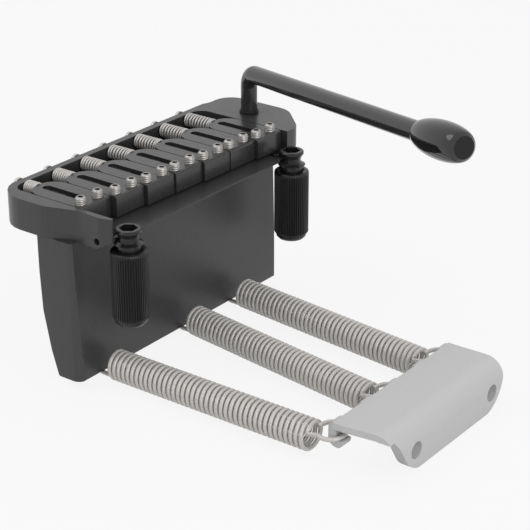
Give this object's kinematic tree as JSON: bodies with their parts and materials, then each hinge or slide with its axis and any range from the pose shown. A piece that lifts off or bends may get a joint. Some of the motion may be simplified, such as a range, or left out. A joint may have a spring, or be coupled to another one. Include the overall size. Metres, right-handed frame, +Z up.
{
  "type": "guitar tremolo bridge",
  "caption": "Floating tremolo bridge with a tilting plate and block, sliding saddles on set screws, a swinging arm, posts in ribbed bushings, and long springs to a hooked claw.",
  "frame": {"origin": "midway between the axes of the two posts, at the guitar's top, which is the plane of the bushings' tops", "axes": "+Z up out of the guitar, +Y towards the guitar's tail, +X towards the arm"},
  "size_m": [0.0939, 0.1158, 0.0785],
  "materials": {
    "satin_black": "satin black nickel",
    "block_black": "satin black over a fine machined grain",
    "black_screw": "black oxide",
    "post_black": "gloss black",
    "saddle_black": "satin black nickel",
    "screw_steel": "plain steel",
    "spring_steel": "drawn spring wire",
    "bushing_black": "gloss black",
    "claw_grey": "satin light grey",
    "arm_black": "gloss black nickel",
    "tip_black": "gloss",
    "sleeve_black": "matte"
  },
  "bodies": {
    "mounting": {"bushing_left": "bushing_black", "bushing_right": "bushing_black"},
    "bridge": {"base_plate": "satin_black", "tremolo_block": "block_black", "block_screws": "black_screw", "knife_inserts": "post_black", "insert_grubs": "black_screw", "intonation_spring_1": "spring_steel", "intonation_spring_2": "spring_steel", "intonation_spring_3": "spring_steel", "intonation_spring_4": "spring_steel", "intonation_spring_5": "spring_steel", "intonation_spring_6": "spring_steel", "intonation_spring_7": "spring_steel", "arm_sleeve": "sleeve_black", "arm_grub": "black_screw"},
    "claw": {"spring_claw": "claw_grey", "main_spring_left": "spring_steel", "main_spring_middle": "spring_steel", "main_spring_right": "spring_steel"},
    "swing_arm": {"arm": "arm_black", "arm_tip": "tip_black", "arm_ring": "sleeve_black"},
    "left_post": {"post_left": "post_black"},
    "right_post": {"post_right": "post_black"},
    "saddle_1": {"saddle_1": "saddle_black"},
    "screw_1": {"intonation_screw_1": "screw_steel"},
    "height_1_left": {"height_screw_1_left": "screw_steel"},
    "height_1_right": {"height_screw_1_right": "screw_steel"},
    "saddle_2": {"saddle_2": "saddle_black"},
    "screw_2": {"intonation_screw_2": "screw_steel"},
    "height_2_left": {"height_screw_2_left": "screw_steel"},
    "height_2_right": {"height_screw_2_right": "screw_steel"},
    "saddle_3": {"saddle_3": "saddle_black"},
    "screw_3": {"intonation_screw_3": "screw_steel"},
    "height_3_left": {"height_screw_3_left": "screw_steel"},
    "height_3_right": {"height_screw_3_right": "screw_steel"},
    "saddle_4": {"saddle_4": "saddle_black"},
    "screw_4": {"intonation_screw_4": "screw_steel"},
    "height_4_left": {"height_screw_4_left": "screw_steel"},
    "height_4_right": {"height_screw_4_right": "screw_steel"},
    "saddle_5": {"saddle_5": "saddle_black"},
    "screw_5": {"intonation_screw_5": "screw_steel"},
    "height_5_left": {"height_screw_5_left": "screw_steel"},
    "height_5_right": {"height_screw_5_right": "screw_steel"},
    "saddle_6": {"saddle_6": "saddle_black"},
    "screw_6": {"intonation_screw_6": "screw_steel"},
    "height_6_left": {"height_screw_6_left": "screw_steel"},
    "height_6_right": {"height_screw_6_right": "screw_steel"},
    "saddle_7": {"saddle_7": "saddle_black"},
    "screw_7": {"intonation_screw_7": "screw_steel"},
    "height_7_left": {"height_screw_7_left": "screw_steel"},
    "height_7_right": {"height_screw_7_right": "screw_steel"}
  },
  "joints": [
    {"name": "bridge_tilt", "type": "hinge", "parent": "mounting", "child": "bridge", "pos_m": [0, 0.00256, 0.0026], "axis": [1, 0, 0], "range_deg": [-4, 20], "stiffness_Nm_per_rad": 12, "deforming": ["main_spring_left", "main_spring_middle", "main_spring_right"]},
    {"name": "claw_slide", "type": "slide", "parent": "mounting", "child": "claw", "axis": [0, 1, 0], "range_m": [-0.006, 0.004], "deforming": ["main_spring_left", "main_spring_middle", "main_spring_right"]},
    {"name": "arm_swing", "type": "hinge", "parent": "bridge", "child": "swing_arm", "pos_m": [0.0439, 0.0224, 0.009], "axis": [0, 0, 1], "continuous": true},
    {"name": "left_post_turn", "type": "hinge", "parent": "mounting", "child": "left_post", "pos_m": [-0.03353, 0, 0], "axis": [0, 0, 1], "range_deg": [-720, 720]},
    {"name": "right_post_turn", "type": "hinge", "parent": "mounting", "child": "right_post", "pos_m": [0.03353, 0, 0], "axis": [0, 0, 1], "range_deg": [-720, 720]},
    {"name": "saddle_1_slide", "type": "slide", "parent": "bridge", "child": "saddle_1", "axis": [0, 1, 0], "range_m": [-0.0073, 0.0007], "deforming": ["intonation_spring_1"]},
    {"name": "intonation_1_turn", "type": "hinge", "parent": "bridge", "child": "screw_1", "pos_m": [-0.03201, 0.037, 0.0075], "axis": [0, -1, 0], "range_deg": [-5845, 565]},
    {"name": "height_1_left_turn", "type": "hinge", "parent": "saddle_1", "child": "height_1_left", "pos_m": [-0.03508, 0.0139, 0.009], "axis": [0, 0, 1], "range_deg": [-720, 720]},
    {"name": "height_1_right_turn", "type": "hinge", "parent": "saddle_1", "child": "height_1_right", "pos_m": [-0.02894, 0.0139, 0.009], "axis": [0, 0, 1], "range_deg": [-720, 720]},
    {"name": "saddle_2_slide", "type": "slide", "parent": "bridge", "child": "saddle_2", "axis": [0, 1, 0], "range_m": [-0.0055, 0.0025], "deforming": ["intonation_spring_2"]},
    {"name": "intonation_2_turn", "type": "hinge", "parent": "bridge", "child": "screw_2", "pos_m": [-0.02134, 0.037, 0.0075], "axis": [0, -1, 0], "range_deg": [-4405, 2005]},
    {"name": "height_2_left_turn", "type": "hinge", "parent": "saddle_2", "child": "height_2_left", "pos_m": [-0.02441, 0.0121, 0.009], "axis": [0, 0, 1], "range_deg": [-720, 720]},
    {"name": "height_2_right_turn", "type": "hinge", "parent": "saddle_2", "child": "height_2_right", "pos_m": [-0.01827, 0.0121, 0.009], "axis": [0, 0, 1], "range_deg": [-720, 720]},
    {"name": "saddle_3_slide", "type": "slide", "parent": "bridge", "child": "saddle_3", "axis": [0, 1, 0], "range_m": [-0.0045, 0.0035], "deforming": ["intonation_spring_3"]},
    {"name": "intonation_3_turn", "type": "hinge", "parent": "bridge", "child": "screw_3", "pos_m": [-0.01067, 0.037, 0.0075], "axis": [0, -1, 0], "range_deg": [-3605, 2805]},
    {"name": "height_3_left_turn", "type": "hinge", "parent": "saddle_3", "child": "height_3_left", "pos_m": [-0.01374, 0.0111, 0.009], "axis": [0, 0, 1], "range_deg": [-720, 720]},
    {"name": "height_3_right_turn", "type": "hinge", "parent": "saddle_3", "child": "height_3_right", "pos_m": [-0.0076, 0.0111, 0.009], "axis": [0, 0, 1], "range_deg": [-720, 720]},
    {"name": "saddle_4_slide", "type": "slide", "parent": "bridge", "child": "saddle_4", "axis": [0, 1, 0], "range_m": [-0.004, 0.004], "deforming": ["intonation_spring_4"]},
    {"name": "intonation_4_turn", "type": "hinge", "parent": "bridge", "child": "screw_4", "pos_m": [0, 0.037, 0.0075], "axis": [0, -1, 0], "range_deg": [-3205, 3205]},
    {"name": "height_4_left_turn", "type": "hinge", "parent": "saddle_4", "child": "height_4_left", "pos_m": [-0.00307, 0.0106, 0.009], "axis": [0, 0, 1], "range_deg": [-720, 720]},
    {"name": "height_4_right_turn", "type": "hinge", "parent": "saddle_4", "child": "height_4_right", "pos_m": [0.00307, 0.0106, 0.009], "axis": [0, 0, 1], "range_deg": [-720, 720]},
    {"name": "saddle_5_slide", "type": "slide", "parent": "bridge", "child": "saddle_5", "axis": [0, 1, 0], "range_m": [-0.0032, 0.0048], "deforming": ["intonation_spring_5"]},
    {"name": "intonation_5_turn", "type": "hinge", "parent": "bridge", "child": "screw_5", "pos_m": [0.01067, 0.037, 0.0075], "axis": [0, -1, 0], "range_deg": [-2565, 3845]},
    {"name": "height_5_left_turn", "type": "hinge", "parent": "saddle_5", "child": "height_5_left", "pos_m": [0.0076, 0.0098, 0.009], "axis": [0, 0, 1], "range_deg": [-720, 720]},
    {"name": "height_5_right_turn", "type": "hinge", "parent": "saddle_5", "child": "height_5_right", "pos_m": [0.01374, 0.0098, 0.009], "axis": [0, 0, 1], "range_deg": [-720, 720]},
    {"name": "saddle_6_slide", "type": "slide", "parent": "bridge", "child": "saddle_6", "axis": [0, 1, 0], "range_m": [-0.003, 0.005], "deforming": ["intonation_spring_6"]},
    {"name": "intonation_6_turn", "type": "hinge", "parent": "bridge", "child": "screw_6", "pos_m": [0.02134, 0.037, 0.0075], "axis": [0, -1, 0], "range_deg": [-2405, 4005]},
    {"name": "height_6_left_turn", "type": "hinge", "parent": "saddle_6", "child": "height_6_left", "pos_m": [0.01827, 0.0096, 0.009], "axis": [0, 0, 1], "range_deg": [-720, 720]},
    {"name": "height_6_right_turn", "type": "hinge", "parent": "saddle_6", "child": "height_6_right", "pos_m": [0.02441, 0.0096, 0.009], "axis": [0, 0, 1], "range_deg": [-720, 720]},
    {"name": "saddle_7_slide", "type": "slide", "parent": "bridge", "child": "saddle_7", "axis": [0, 1, 0], "range_m": [-0.002, 0.006], "deforming": ["intonation_spring_7"]},
    {"name": "intonation_7_turn", "type": "hinge", "parent": "bridge", "child": "screw_7", "pos_m": [0.03201, 0.037, 0.0075], "axis": [0, -1, 0], "range_deg": [-1605, 4805]},
    {"name": "height_7_left_turn", "type": "hinge", "parent": "saddle_7", "child": "height_7_left", "pos_m": [0.02894, 0.0086, 0.009], "axis": [0, 0, 1], "range_deg": [-720, 720]},
    {"name": "height_7_right_turn", "type": "hinge", "parent": "saddle_7", "child": "height_7_right", "pos_m": [0.03508, 0.0086, 0.009], "axis": [0, 0, 1], "range_deg": [-720, 720]}
  ],
  "couplings": [
    {"joint": "intonation_1_turn", "follows": "saddle_1_slide", "rad_per_m": 13963},
    {"joint": "intonation_2_turn", "follows": "saddle_2_slide", "rad_per_m": 13963},
    {"joint": "intonation_3_turn", "follows": "saddle_3_slide", "rad_per_m": 13963},
    {"joint": "intonation_4_turn", "follows": "saddle_4_slide", "rad_per_m": 13963},
    {"joint": "intonation_5_turn", "follows": "saddle_5_slide", "rad_per_m": 13963},
    {"joint": "intonation_6_turn", "follows": "saddle_6_slide", "rad_per_m": 13963},
    {"joint": "intonation_7_turn", "follows": "saddle_7_slide", "rad_per_m": 13963}
  ]
}
